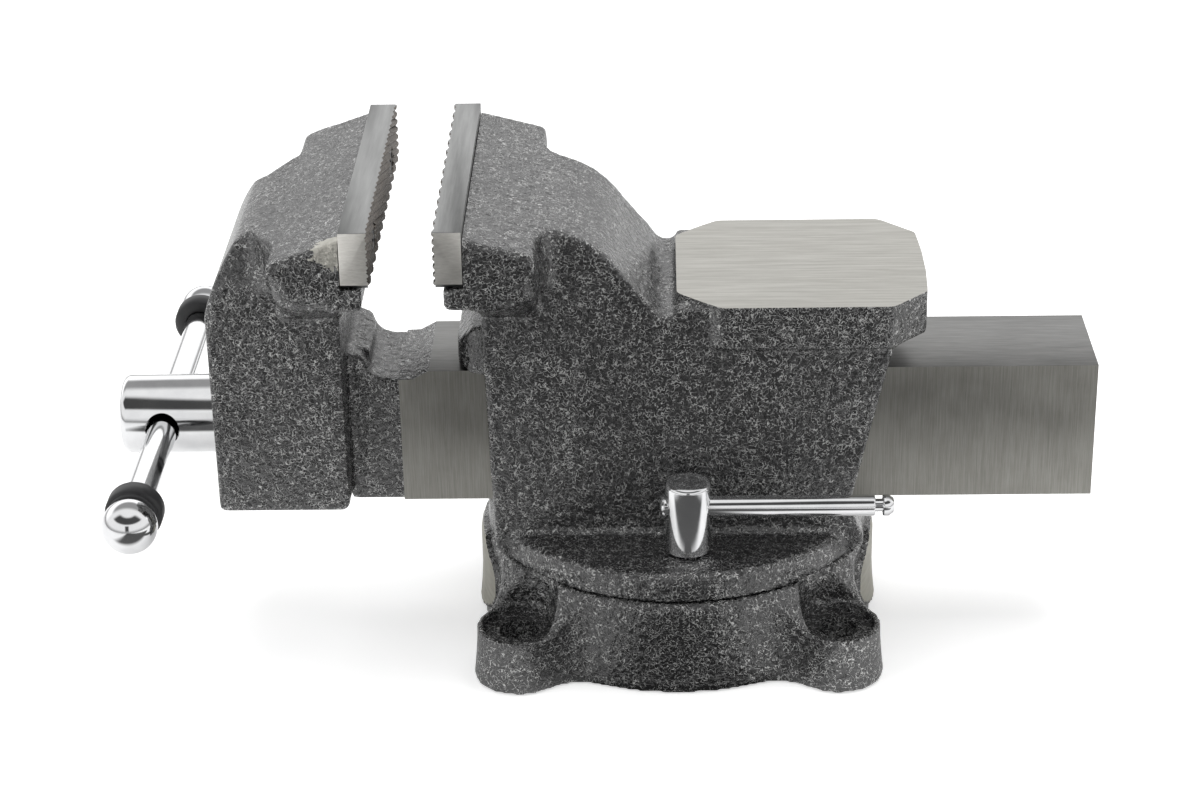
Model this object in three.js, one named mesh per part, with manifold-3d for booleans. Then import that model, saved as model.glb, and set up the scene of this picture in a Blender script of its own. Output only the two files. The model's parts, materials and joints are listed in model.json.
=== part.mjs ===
// Bench vise with a swivel base and an anvil, in millimetres, +Z up.
// The origin is on the swivel axis at the bench. The screw handle is towards -X,
// the tail of the slide bar towards +X, and the jaws run along Y.
import * as THREE from 'three';
import { mergeVertices } from 'three/addons/utils/BufferGeometryUtils.js';
import Module from 'manifold-3d';

const wasm = await Module();
wasm.setup();

// ---------------------------------------------------------------- driving dimensions

const fit = 0.3; // gap between faces that meet

// swivel base
const baseHeight = 42;
const baseFlare = 4.2; // how much wider the foot is than the top
const underCore = 8; // depth of the cored underside
const hubRadius = 30;
const rimWall = 14;
const lugReach = 12.4; // lug centre beyond the edge of the turntable
const lugRadius = 18.5;
const lugHeight = 21.5;
const lugFillet = 20;
const boltHoleRadius = 8.5;

// turntable and swivel locks
const turntableRim = 22.05; // metal outside the lock bolt circle
const turntableThickness = 12.3;
const spigotRadius = 20;
const spigotDepth = 12;
const lockOffset = 4.4; // of the near lock along X
const lockWallGap = 7.6; // lock nut to body wall
const lockNutRadius = 9.6;
const lockNutHeight = 32.6;
const lockBossHeight = 1.3;
const lockBoltRadius = 6;
const lockHeadWidth = 21;
const lockHeadThickness = 8;
const slotLip = 12; // metal over the head of the lock bolt
const leverRadius = 4.5;
const leverLift = 20.2; // cross hole above the foot of the nut
const leverReach = 86.3; // tip of the lever from the nut's axis
const leverHeadRadius = 5.2;
const leverHeadLength = 2.2;
const leverNeckRadius = 2.7;
const leverNeckLength = 3.2;
const leverTipLength = 4.6;

// slide bar and its tunnel
const barWidth = 52.4;
const barHeight = 61.3;
const barBottom = 62.5;
const barTail = 178.8;
const barMachinedStart = -117.4;
const neckDrop = 4.2; // cast neck below the machined top
const tailWall = 8;
const slideFit = 0.3;

// fixed body
const bodyWidth = 88.8;
const bodyFront = -81;
const bodyFrontTaper = 2.6; // the foot of the front wall stands back by this
const bodyBottomGap = 1.8; // body corners above the base
const neckHeight = 155.3;
const collarReach = 12.2;
const collarHeight = 20;

// anvil
const anvilTop = 161.4;
const anvilWidth = 96.8;
const anvilThickness = 19.6;
const anvilStart = 0.3;
const anvilEnd = 106.7;

// jaws
const jawWidth = 152.4;
const jawTop = 207.4;
const jawOpening = 25.7;
const rearFaceX = -97.3;
const insertHeight = 24.2;
const insertThickness = 11.7;
const blockDepth = 30; // of the wide block behind an insert
const ledgeDepth = 8;
const blockUnderside = 34.4; // below the top of the inserts
const pocketRadius = 10;
const frontBodyWidth = 90;
const frontFaceX = -196;
const frontRearX = -140.1;
const frontBottom = 66.8;
const insertScrewSpacing = 88;
const insertScrewRise = 8.8; // above the bottom of the insert
const insertScrewRadius = 3;
const insertScrewLength = 22;
const insertHeadRadius = 6;

// main screw and handle
const screwHeight = 92.4;
const screwRadius = 12;
const screwTip = 165;
const headRadius = 17.25;
const headLength = 42.2;
const washerThickness = 3;
const handleRadius = 6.35;
const handleHoleRadius = 7.5;
const handleHoleX = -223;
const handleBallReach = 109.4; // ball centre from the middle of the handle
const handleRest = 5.7; // the handle lies a little to the far side
const ballRadius = 11.5;
const bumperRadius = 11.9;
const bumperLength = 11.6;
const nutLength = 40;
const nutX = -51;
const nutBoltRadius = 5;
const springWire = 2.6;
const springLength = 16;

// ---------------------------------------------------------------- derived sizes

const barTop = barBottom + barHeight;
const barHalf = barWidth / 2;
const bodyHalf = bodyWidth / 2;
const jawHalf = jawWidth / 2;
const frontHalf = frontBodyWidth / 2;
const insertBottom = jawTop - insertHeight;
const insertScrewZ = insertBottom + insertScrewRise;
const rearSeatX = rearFaceX + insertThickness;
const frontInsertX = rearFaceX - jawOpening;
const frontSeatX = frontInsertX - insertThickness;
const blockBottom = jawTop - blockUnderside;
const lockDistance = bodyHalf + lockWallGap + lockNutRadius;
const lockRadius = Math.hypot(lockOffset, lockDistance);
const turntableRadius = lockRadius + turntableRim;
const turntableTop = baseHeight + fit + turntableThickness;
const lockNutBottom = turntableTop + lockBossHeight + fit;
const channelBottom = baseHeight - slotLip - lockHeadThickness - 2;
const slotHalf = lockBoltRadius + 0.4;
const lugCentre = (turntableRadius + lugReach) / Math.SQRT2;
const springRadius = screwRadius + 1 + springWire / 2;
const channelHalf = springRadius + springWire / 2 + 2.4;
const channelTop = screwHeight + channelHalf;
const channelStart = frontRearX + 22;

// ---------------------------------------------------------------- finishes

const finish = (color, roughness, metalness) => new THREE.MeshStandardMaterial({ color, roughness, metalness });
const hammertone = finish(0x3c3d3d, 0.5, 0.4);
const machined = finish(0x9a968d, 0.4, 1);
const chrome = finish(0xd9dade, 0.1, 1);
const rubber = finish(0x1c1d1d, 0.65, 0);
const darkSteel = finish(0x4a4a4c, 0.45, 1);

// ---------------------------------------------------------------- shape helpers

// A closed geometry as a solid whose faces point outwards.
function solid(geometry) {
  const bare = new THREE.BufferGeometry();
  bare.setAttribute('position', geometry.attributes.position.clone());
  if (geometry.index) bare.setIndex(geometry.index.clone());
  const merged = mergeVertices(bare, 1e-4);
  const vertProperties = new Float32Array(merged.attributes.position.array);
  const source = merged.index.array;
  const corner = (i) => new THREE.Vector3().fromArray(vertProperties, 3 * i);
  const kept = [];
  let volume = 0;
  for (let i = 0; i < source.length; i += 3) {
    const [a, b, c] = [source[i], source[i + 1], source[i + 2]];
    if (a === b || b === c || c === a) continue;
    kept.push(a, b, c);
    volume += corner(a).dot(corner(b).cross(corner(c)));
  }
  if (volume < 0) kept.reverse();
  const triVerts = new Uint32Array(kept);
  return new wasm.Manifold(new wasm.Mesh({ numProp: 3, vertProperties, triVerts }));
}

// A solid as a named mesh.
function piece(name, body, material, x = 0, y = 0, z = 0) {
  const mesh = body.getMesh();
  const geometry = new THREE.BufferGeometry();
  geometry.setAttribute('position', new THREE.BufferAttribute(new Float32Array(mesh.vertProperties), 3));
  geometry.setIndex(new THREE.BufferAttribute(new Uint32Array(mesh.triVerts), 1));
  geometry.computeVertexNormals();
  const object = new THREE.Mesh(geometry, material);
  object.name = name;
  object.position.set(x, y, z);
  return object;
}

function outline(points) {
  return new THREE.Shape(points.map(([x, y]) => new THREE.Vector2(x, y)));
}

function extruded(shape, depth, curveSegments = 8) {
  return new THREE.ExtrudeGeometry(shape, { depth, bevelEnabled: false, curveSegments });
}

// An (x, z) outline that runs from y0 to y1.
function alongY(shape, y0, y1, curveSegments) {
  const geometry = extruded(shape, y1 - y0, curveSegments);
  geometry.rotateX(Math.PI / 2);
  geometry.translate(0, y1, 0);
  return solid(geometry);
}

// An (x, y) outline that runs from z0 to z1.
function alongZ(shape, z0, z1, curveSegments) {
  const geometry = extruded(shape, z1 - z0, curveSegments);
  geometry.translate(0, 0, z0);
  return solid(geometry);
}

// A (y, z) outline that runs from x0 to x1.
function alongX(shape, x0, x1, curveSegments) {
  const geometry = extruded(shape, x1 - x0, curveSegments);
  const axes = [new THREE.Vector3(0, 1, 0), new THREE.Vector3(0, 0, 1), new THREE.Vector3(1, 0, 0)];
  geometry.applyMatrix4(new THREE.Matrix4().makeBasis(...axes));
  geometry.translate(x0, 0, 0);
  return solid(geometry);
}

// A (radius, height) profile turned about an axis: 'x', 'y' or 'z'.
function turned(profile, axis, segments = 32) {
  const geometry = new THREE.LatheGeometry(profile.map(([r, h]) => new THREE.Vector2(r, h)), segments);
  if (axis === 'z') geometry.rotateX(Math.PI / 2);
  if (axis === 'x') geometry.rotateZ(-Math.PI / 2);
  return solid(geometry);
}

function rod(radius, from, to, axis, segments = 24) {
  return turned([[0, from], [radius, from], [radius, to], [0, to]], axis, segments);
}

function block(x0, x1, y0, y1, z0, z1) {
  const geometry = new THREE.BoxGeometry(x1 - x0, y1 - y0, z1 - z0);
  geometry.translate((x0 + x1) / 2, (y0 + y1) / 2, (z0 + z1) / 2);
  return solid(geometry);
}

// ---------------------------------------------------------------- swivel base

// The round body with a lug at each corner, joined by concave fillets.
function lobedOutline(bodyRadius, radius) {
  const reach = Math.hypot(lugCentre, lugCentre);
  const nearSide = bodyRadius + lugFillet;
  const farSide = radius + lugFillet;
  const spread = Math.acos((nearSide ** 2 + reach ** 2 - farSide ** 2) / (2 * nearSide * reach));
  const points = [];
  const arc = (cx, cy, r, start, end, steps) => {
    for (let i = 0; i <= steps; i += 1) {
      const angle = start + ((end - start) * i) / steps;
      points.push([cx + r * Math.cos(angle), cy + r * Math.sin(angle)]);
    }
  };
  for (let corner = 0; corner < 4; corner += 1) {
    const middle = Math.PI / 4 + (corner * Math.PI) / 2;
    const lug = [reach * Math.cos(middle), reach * Math.sin(middle)];
    for (const side of [-1, 1]) {
      const angle = middle + side * spread;
      const fillet = [nearSide * Math.cos(angle), nearSide * Math.sin(angle)];
      const towardsLug = Math.atan2(lug[1] - fillet[1], lug[0] - fillet[0]);
      const turn = Math.atan2(Math.sin(towardsLug - angle - Math.PI), Math.cos(towardsLug - angle - Math.PI));
      const ends = [angle + Math.PI, angle + Math.PI + turn];
      const lugAngle = towardsLug + Math.PI;
      if (side < 0) {
        arc(...fillet, lugFillet, ends[0], ends[1], 4);
        const sweep = 2 * Math.atan2(Math.sin(middle - lugAngle), Math.cos(middle - lugAngle));
        arc(...lug, radius, lugAngle + sweep / 8, lugAngle + (sweep * 7) / 8, 8);
      } else {
        arc(...fillet, lugFillet, ends[1], ends[0], 4);
      }
    }
    const next = middle + Math.PI / 2;
    arc(0, 0, bodyRadius, middle + spread + 0.08, next - spread - 0.08, 5);
  }
  return outline(points);
}

function swivelBase() {
  const footRadius = turntableRadius + baseFlare;
  const lobes = alongZ(lobedOutline(turntableRadius + 1.6, lugRadius), 0, baseHeight);
  const outside = 2 * footRadius;
  const slope = turned([
    [0, 0], [outside, 0], [outside, lugHeight + 1], [footRadius + 9, lugHeight + 3],
    [footRadius + 2.5, lugHeight + 10], [turntableRadius + 2.2, baseHeight - 4],
    [turntableRadius + 0.4, baseHeight - 1], [turntableRadius, baseHeight], [0, baseHeight],
  ], 'z', 64);
  let body = lobes.intersect(slope);
  const channelInner = lockRadius - lockHeadWidth / 2 - 1.4;
  const channelOuter = lockRadius + lockHeadWidth / 2 + 1.4;
  const slotTop = baseHeight + 1;
  const slotLipBottom = baseHeight - slotLip;
  body = body.subtract(turned([
    [channelInner, channelBottom], [channelOuter, channelBottom], [channelOuter, slotLipBottom],
    [lockRadius + slotHalf, slotLipBottom], [lockRadius + slotHalf, slotTop],
    [lockRadius - slotHalf, slotTop], [lockRadius - slotHalf, slotLipBottom],
    [channelInner, slotLipBottom], [channelInner, channelBottom],
  ], 'z', 48));
  body = body.subtract(turned([
    [hubRadius, -1], [turntableRadius - rimWall, -1], [turntableRadius - rimWall, underCore],
    [hubRadius, underCore], [hubRadius, -1],
  ], 'z', 48));
  const socketDepth = spigotDepth + 1;
  body = body.subtract(rod(spigotRadius + fit, baseHeight - socketDepth, slotTop, 'z', 32));
  for (const x of [-lugCentre, lugCentre]) {
    for (const y of [-lugCentre, lugCentre]) {
      const hole = turned([
        [0, -1], [boltHoleRadius, -1], [boltHoleRadius, lugHeight], [lugRadius - 3, lugHeight],
        [lugRadius - 2, baseHeight + 1], [0, baseHeight + 1],
      ], 'z', 24);
      body = body.subtract(hole.translate([x, y, 0]));
    }
  }
  return body;
}

// ---------------------------------------------------------------- fixed body

// The fillet that fills the inner corner between a jaw block and the body wall, on both sides.
function cornerPockets(x, side, wallHalf, bottom, top) {
  const shape = new THREE.Shape();
  shape.moveTo(x - side, wallHalf - 1);
  shape.lineTo(x + side * pocketRadius, wallHalf - 1);
  shape.lineTo(x + side * pocketRadius, wallHalf);
  const start = -Math.PI / 2;
  const end = side > 0 ? -Math.PI : 0;
  shape.absarc(x + side * pocketRadius, wallHalf + pocketRadius, pocketRadius, start, end, side > 0);
  shape.lineTo(x - side, wallHalf + pocketRadius);
  const far = alongZ(shape, bottom, top, 5);
  return far.add(far.mirror([0, 1, 0]));
}

// The slanting underside between the wide jaw block and the narrower body.
function underBlock(x0, x1, wallHalf) {
  const low = blockBottom - (jawHalf - wallHalf) / 2;
  return alongX(outline([
    [-jawHalf, blockBottom], [-wallHalf, low], [wallHalf, low], [jawHalf, blockBottom],
    [jawHalf, blockBottom + 1], [-jawHalf, blockBottom + 1],
  ]), x0, x1);
}

function insertScrewHoles(seatX, side) {
  const reach = insertScrewLength + 3;
  const hole = rod(insertScrewRadius + fit, Math.min(-side, side * reach), Math.max(-side, side * reach), 'x', 16);
  const half = insertScrewSpacing / 2;
  return hole.translate([seatX, -half, insertScrewZ]).add(hole.translate([seatX, half, insertScrewZ]));
}

function bodySide() {
  const bottom = baseHeight + bodyBottomGap;
  const slabBottom = anvilTop - anvilThickness;
  const blockBack = rearSeatX + blockDepth;
  const rearTop = anvilEnd - 16;
  const rearWaist = rearTop - 16;
  const shape = new THREE.Shape();
  const footX = bodyFront + bodyFrontTaper;
  shape.moveTo(footX + 7, bottom);
  shape.lineTo(rearWaist - 1, bottom);
  shape.quadraticCurveTo(rearWaist + 5, bottom, rearWaist + 5.4, bottom + 8);
  shape.quadraticCurveTo(rearWaist + 0.5, bottom + 15, rearWaist, bottom + 28);
  shape.lineTo(rearTop, slabBottom);
  shape.lineTo(rearTop, anvilTop - 2);
  shape.lineTo(anvilStart + 1, anvilTop - 2);
  shape.quadraticCurveTo(anvilStart, neckHeight, anvilStart - 4, neckHeight);
  shape.quadraticCurveTo(anvilStart - 8, neckHeight, anvilStart - 11, neckHeight + 6);
  shape.lineTo(blockBack + 34, jawTop - 33);
  shape.bezierCurveTo(blockBack + 27, jawTop - 22, blockBack + 18, jawTop - 14.6, blockBack, jawTop - 10.8);
  shape.lineTo(bodyFront, jawTop - 6);
  shape.lineTo(bodyFront, barTop + collarHeight);
  shape.lineTo(footX, bottom + 7);
  shape.quadraticCurveTo(footX, bottom, footX + 7, bottom);
  return shape;
}

function rearBlockSide() {
  const back = rearSeatX + blockDepth;
  const shape = new THREE.Shape();
  shape.moveTo(rearSeatX + fit, jawTop - 3.6);
  shape.lineTo(rearSeatX + fit, insertBottom - fit);
  shape.lineTo(rearSeatX - ledgeDepth, insertBottom - fit);
  shape.lineTo(rearSeatX - ledgeDepth, blockBottom + 2.5);
  shape.quadraticCurveTo(rearSeatX - ledgeDepth, blockBottom, rearSeatX - ledgeDepth + 2.5, blockBottom);
  shape.lineTo(back - 2, blockBottom);
  shape.quadraticCurveTo(back, blockBottom, back, blockBottom + 3);
  shape.lineTo(back - 1, jawTop - 13.5);
  shape.quadraticCurveTo(back - 1.2, jawTop - 10.8, back - 4, jawTop - 10.3);
  return shape;
}

function anvilOutline() {
  const half = anvilWidth / 2;
  const shape = new THREE.Shape();
  shape.moveTo(anvilStart, -half + 17);
  shape.lineTo(anvilStart + 16.5, -half + 1.6);
  shape.quadraticCurveTo(anvilStart + 18, -half, anvilStart + 20, -half);
  shape.lineTo(anvilEnd - 19, -half);
  shape.quadraticCurveTo(anvilEnd - 17, -half, anvilEnd - 15.6, -half + 1.5);
  shape.lineTo(anvilEnd - 1.8, -half + 16);
  shape.quadraticCurveTo(anvilEnd + 0.6, 0, anvilEnd - 1.8, half - 16);
  shape.lineTo(anvilEnd - 15.6, half - 1.5);
  shape.quadraticCurveTo(anvilEnd - 17, half, anvilEnd - 19, half);
  shape.lineTo(anvilStart + 20, half);
  shape.quadraticCurveTo(anvilStart + 18, half, anvilStart + 16.5, half - 1.6);
  shape.lineTo(anvilStart, half - 17);
  return shape;
}

// The arched lip over the mouth of the tunnel.
function collar() {
  const half = barHalf + 3.2;
  const front = bodyFront - collarReach;
  const plan = new THREE.Shape();
  plan.moveTo(bodyFront + 1, -half);
  plan.quadraticCurveTo(front, -half, front, -half + 14);
  plan.lineTo(front, half - 14);
  plan.quadraticCurveTo(front, half, bodyFront + 1, half);
  const top = barTop + collarHeight;
  const side = outline([
    [bodyFront + 1, barTop - 1], [bodyFront + 1, top + 3], [bodyFront - 5, top],
    [front, top - 8], [front, barTop - 1],
  ]);
  return alongZ(plan, barTop - 1, top + 3, 5).intersect(alongY(side, -half - 1, half + 1));
}

function staticBody() {
  const side = bodySide();
  const back = rearSeatX + blockDepth;
  let body = alongY(side, -bodyHalf, bodyHalf, 6);
  body = body.add(alongY(rearBlockSide(), -jawHalf, jawHalf, 4));
  body = body.add(underBlock(bodyFront, back - 2, bodyHalf));
  const pockets = cornerPockets(back - 0.6, 1, bodyHalf, blockBottom - 4, jawTop);
  body = body.add(pockets.intersect(alongY(side, -jawHalf, jawHalf, 6)));
  body = body.add(alongZ(anvilOutline(), anvilTop - anvilThickness, anvilTop, 3));
  body = body.add(collar());
  const seam = baseHeight + fit;
  body = body.add(turned([
    [0, baseHeight - spigotDepth], [spigotRadius, baseHeight - spigotDepth], [spigotRadius, seam],
    [turntableRadius, seam], [turntableRadius - 0.4, turntableTop - 2],
    [turntableRadius - 2.2, turntableTop], [0, turntableTop],
  ], 'z', 64));
  for (const turn of [1, -1]) {
    const at = [turn * lockOffset, -turn * lockDistance, 0];
    const boss = rod(lockNutRadius + 3.4, turntableTop - 1, turntableTop + lockBossHeight, 'z', 24);
    const hole = rod(lockBoltRadius + fit, baseHeight - 1, turntableTop + 5, 'z', 20);
    body = body.add(boss.translate(at)).subtract(hole.translate(at));
  }
  body = body.subtract(block(
    bodyFront - 40, anvilEnd + 40, -barHalf - slideFit, barHalf + slideFit,
    barBottom - slideFit, barTop + slideFit,
  ));
  const boltAxis = [nutX + nutLength / 2, 0, 0];
  body = body.subtract(rod(nutBoltRadius + fit, baseHeight - 1, barBottom + 1, 'z', 20).translate(boltAxis));
  body = body.subtract(rod(nutBoltRadius * 1.9, baseHeight - 1, baseHeight + 8.5, 'z', 20).translate(boltAxis));
  return body.subtract(insertScrewHoles(rearSeatX, 1));
}

// ---------------------------------------------------------------- sliding jaw

function frontBodySide() {
  const shape = new THREE.Shape();
  const blockFront = frontSeatX - blockDepth;
  shape.moveTo(frontFaceX + 3, frontBottom);
  shape.lineTo(frontRearX - 2, frontBottom);
  shape.lineTo(frontRearX, frontBottom + 2);
  shape.lineTo(frontRearX, jawTop - 12);
  shape.lineTo(blockFront + 8, jawTop - 12);
  shape.lineTo(blockFront - 5, jawTop - 14.6);
  shape.quadraticCurveTo(blockFront - 12, jawTop - 14.6, blockFront - 18, jawTop - 20);
  shape.quadraticCurveTo(frontFaceX + 4.7, jawTop - 32.3, frontFaceX, jawTop - 49.4);
  shape.lineTo(frontFaceX, frontBottom + 3);
  shape.quadraticCurveTo(frontFaceX, frontBottom, frontFaceX + 3, frontBottom);
  return shape;
}

function frontBlockSide() {
  const front = frontSeatX - blockDepth;
  const shape = new THREE.Shape();
  shape.moveTo(frontSeatX - fit, jawTop - 3.4);
  shape.lineTo(front + 16, jawTop - 8.2);
  shape.quadraticCurveTo(front + 4, jawTop - 11.4, front, jawTop - 14.6);
  shape.lineTo(front - 0.5, blockBottom + 3);
  shape.quadraticCurveTo(front, blockBottom, front + 3, blockBottom);
  shape.lineTo(frontSeatX + ledgeDepth - 2.5, blockBottom);
  shape.quadraticCurveTo(frontSeatX + ledgeDepth, blockBottom, frontSeatX + ledgeDepth, blockBottom + 2.5);
  shape.lineTo(frontSeatX + ledgeDepth, insertBottom - fit);
  shape.lineTo(frontSeatX - fit, insertBottom - fit);
  return shape;
}

// The neck and the bar seen from the side, with the cast hollow between jaw and machined part.
function barSide() {
  const neckTop = barTop - neckDrop;
  const shape = new THREE.Shape();
  shape.moveTo(frontRearX - 1, barBottom);
  shape.lineTo(barTail, barBottom);
  shape.lineTo(barTail, barTop);
  shape.lineTo(barMachinedStart + 12, barTop);
  shape.lineTo(barMachinedStart + 5, neckTop + 0.4);
  shape.lineTo(barMachinedStart - 5, neckTop);
  shape.quadraticCurveTo(frontRearX + 9, neckTop, frontRearX + 7.4, neckTop + 8);
  shape.quadraticCurveTo(frontRearX + 7.4, neckTop + 11.4, frontRearX - 1, neckTop + 12);
  return shape;
}

function slidingJaw() {
  const side = frontBodySide();
  const front = frontSeatX - blockDepth;
  let body = alongY(side, -frontHalf, frontHalf, 6);
  body = body.add(alongY(frontBlockSide(), -jawHalf, jawHalf, 4));
  body = body.add(underBlock(front + 2, frontRearX + 2, frontHalf));
  const pockets = cornerPockets(front + 0.6, -1, frontHalf, blockBottom - 4, jawTop);
  body = body.add(pockets.intersect(alongY(side, -jawHalf, jawHalf, 6)));
  body = body.add(alongY(barSide(), -barHalf, barHalf, 5));
  body = body.subtract(block(
    channelStart, barTail - tailWall, -channelHalf, channelHalf, barBottom - 1, channelTop,
  ));
  const bore = rod(screwRadius + 0.6, frontFaceX - 1, channelStart + 1, 'x', 32);
  body = body.subtract(bore.translate([0, 0, screwHeight]));
  return body.subtract(insertScrewHoles(frontSeatX, -1));
}

// ---------------------------------------------------------------- small pieces

// A jaw insert whose working face is at x = 0 and whose back is towards +x.
function jawInsert() {
  const half = jawWidth / 2;
  const corner = 2;
  let plate = alongX(outline([
    [-half, corner], [-half + corner, 0], [half - corner, 0], [half, corner],
    [half, insertHeight], [-half, insertHeight],
  ]), 0, insertThickness);
  const hole = turned([
    [0, -1], [insertHeadRadius + 0.8, -1], [insertHeadRadius + 0.8, 0.8], [insertScrewRadius + fit, 4.6],
    [insertScrewRadius + fit, insertThickness + 1], [0, insertThickness + 1],
  ], 'x', 20);
  for (const y of [-insertScrewSpacing / 2, insertScrewSpacing / 2]) {
    plate = plate.subtract(hole.translate([0, y, insertScrewRise]));
  }
  return plate;
}

// A countersunk screw with a hexagon socket, its head towards -x and flush with x = 0.
function insertScrew() {
  const body = turned([
    [0, 1], [insertHeadRadius, 1], [insertScrewRadius, 4.6], [insertScrewRadius, insertThickness + insertScrewLength],
    [0, insertThickness + insertScrewLength],
  ], 'x', 20);
  return body.subtract(rod(2.3, 0, 3.6, 'x', 6));
}

function mainScrew() {
  const shoulder = frontFaceX - washerThickness - 2 * fit;
  const start = shoulder - headLength;
  const profile = [
    [0, start], [headRadius - 2.4, start], [headRadius - 0.6, start + 0.9], [headRadius, start + 2.8],
    [headRadius, shoulder], [screwRadius, shoulder], [screwRadius, screwTip - 2], [screwRadius - 2, screwTip],
    [0, screwTip],
  ];
  const hole = rod(handleHoleRadius, -headRadius - 1, headRadius + 1, 'y', 24).translate([handleHoleX, 0, 0]);
  const pinHole = rod(2.6, -screwRadius - 1, screwRadius + 1, 'z', 12).translate([pinX(), 0, 0]);
  return turned(profile, 'x', 40).subtract(hole).subtract(pinHole);
}

// Where the split pin crosses the screw, behind the spring and its washer.
function pinX() {
  return channelStart + springLength + 2.4 + 3 * fit + 2.2;
}

function ring(inner, outer, from, to, axis, segments = 32) {
  return turned([[inner, from], [outer, from], [outer, to], [inner, to], [inner, from]], axis, segments);
}

function springCoil() {
  const turns = 4;
  const pitch = (springLength - springWire - 2 * fit) / turns;
  class Coil extends THREE.Curve {
    getPoint(t) {
      const angle = 2 * Math.PI * turns * t;
      return new THREE.Vector3(pitch * turns * t, springRadius * Math.cos(angle), springRadius * Math.sin(angle));
    }
  }
  const section = new THREE.Shape();
  section.absarc(0, 0, springWire / 2, 0, 2 * Math.PI);
  return solid(new THREE.ExtrudeGeometry(section, { steps: 16 * turns, curveSegments: 4, extrudePath: new Coil() }));
}

function splitPin() {
  const reach = channelHalf - 0.8;
  const stem = rod(1.9, -reach + 0.6, screwRadius + 1, 'z', 12);
  const eyeRadius = 2.3;
  const eye = turned([[0.8, -1.7], [eyeRadius, -1.7], [eyeRadius, 1.7], [0.8, 1.7], [0.8, -1.7]], 'y', 12);
  return stem.add(eye.translate([0, 0, screwRadius + fit + eyeRadius]));
}

function spindleNut() {
  const floor = barBottom;
  const half = channelHalf - 1.2;
  const top = screwHeight + screwRadius + 4;
  const round = rod(screwRadius + 4, 0, nutLength, 'x', 28).translate([0, 0, screwHeight]);
  let body = round.add(block(0, nutLength, -half, half, floor, screwHeight - 2));
  body = body.subtract(block(-1, nutLength + 1, -half - 9, half + 9, top + 0.1, top + 20));
  body = body.subtract(rod(screwRadius + fit, -1, nutLength + 1, 'x', 28).translate([0, 0, screwHeight]));
  const tap = rod(nutBoltRadius + fit, floor - 1, floor + 13, 'z', 20).translate([nutLength / 2, 0, 0]);
  return body.subtract(tap);
}

function nutBolt() {
  const seat = baseHeight + 8.5 - fit;
  const head = rod(nutBoltRadius * 1.7, seat - 6.4, seat, 'z', 6);
  return head.add(rod(nutBoltRadius, seat - 1, barBottom + 12, 'z', 20));
}

// ---------------------------------------------------------------- handle

function handleBall() {
  const rear = ballRadius - 5.4; // flat that meets the bumper, behind the centre
  const arc = [];
  const steps = 10;
  const last = Math.acos(-rear / ballRadius);
  for (let i = 0; i <= steps; i += 1) {
    const angle = (last * i) / steps;
    arc.push([ballRadius * Math.sin(angle), ballRadius * Math.cos(angle)]);
  }
  arc.push([0, -rear]);
  const bore = rod(handleRadius + fit, -rear - 1, 3, 'y', 20);
  return turned(arc, 'y', 28).subtract(bore);
}

function handleBumper() {
  const start = -(ballRadius - 5.4) - fit;
  const end = start - bumperLength;
  const inner = handleRadius + fit;
  return turned([
    [inner, end], [bumperRadius - 2.6, end], [bumperRadius, end + 2.2], [bumperRadius, start - 2.2],
    [bumperRadius - 1.6, start], [inner, start], [inner, end],
  ], 'y', 28);
}

// The rod lies on the bottom of its cross hole.
function handle() {
  const group = new THREE.Group();
  group.position.set(handleHoleX, handleRest, screwHeight - (handleHoleRadius - handleRadius - fit));
  const reach = handleBallReach + 3 - fit;
  group.add(piece('handle_rod', rod(handleRadius, -reach, reach, 'y', 24), chrome));
  for (const [name, side] of [['near', -1], ['far', 1]]) {
    const end = new THREE.Group();
    end.position.set(0, side * handleBallReach, 0);
    if (side < 0) end.rotation.z = Math.PI;
    end.add(piece(`handle_ball_${name}`, handleBall(), chrome));
    end.add(piece(`handle_bumper_${name}`, handleBumper(), rubber));
    group.add(end);
  }
  return group;
}

// ---------------------------------------------------------------- swivel locks

function lockNut() {
  const height = lockNutHeight;
  const profile = [
    [0, 0], [lockNutRadius - 0.8, 0], [lockNutRadius, 0.8], [lockNutRadius, height - 2.6],
    [lockNutRadius - 0.9, height - 0.9], [lockNutRadius - 3, height - 0.1], [0, height],
  ];
  const bore = rod(lockBoltRadius + fit, -1, leverLift - leverRadius - 1.6, 'z', 20);
  const hole = rod(leverRadius + fit, -lockNutRadius - 1, lockNutRadius + 1, 'x', 20).translate([0, 0, leverLift]);
  return turned(profile, 'z', 32).subtract(bore).subtract(hole);
}

function lockLever() {
  const start = -lockNutRadius - fit - leverHeadLength;
  const neckStart = leverReach - leverTipLength - leverNeckLength;
  return turned([
    [0, start], [leverHeadRadius - 1.4, start], [leverHeadRadius, start + 1.2],
    [leverHeadRadius, start + leverHeadLength], [leverRadius, start + leverHeadLength],
    [leverRadius, neckStart], [leverNeckRadius, neckStart + 0.8], [leverNeckRadius, leverReach - leverTipLength],
    [leverRadius, leverReach - leverTipLength], [leverRadius, leverReach - 2.2], [leverNeckRadius, leverReach],
    [0, leverReach],
  ], 'x', 20);
}

// T-headed bolt: the head is caught under the lip of the ring slot.
function lockBolt() {
  const seat = baseHeight - slotLip - fit;
  const top = lockNutBottom + leverLift - leverRadius - 2.6;
  const head = block(-8, 8, -lockHeadWidth / 2, lockHeadWidth / 2, seat - lockHeadThickness, seat);
  return head.add(rod(lockBoltRadius, seat - 1, top, 'z', 20));
}

function swivelLock(name, turn) {
  const group = new THREE.Group();
  group.position.set(turn * lockOffset, -turn * lockDistance, 0);
  if (turn < 0) group.rotation.z = Math.PI;
  group.add(piece(`lock_bolt_${name}`, lockBolt(), darkSteel));
  const nut = new THREE.Group();
  nut.position.set(0, 0, lockNutBottom);
  nut.add(piece(`lock_nut_${name}`, lockNut(), chrome));
  nut.add(piece(`lock_lever_${name}`, lockLever(), chrome, 0, 0, leverLift));
  group.add(nut);
  return group;
}

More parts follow.
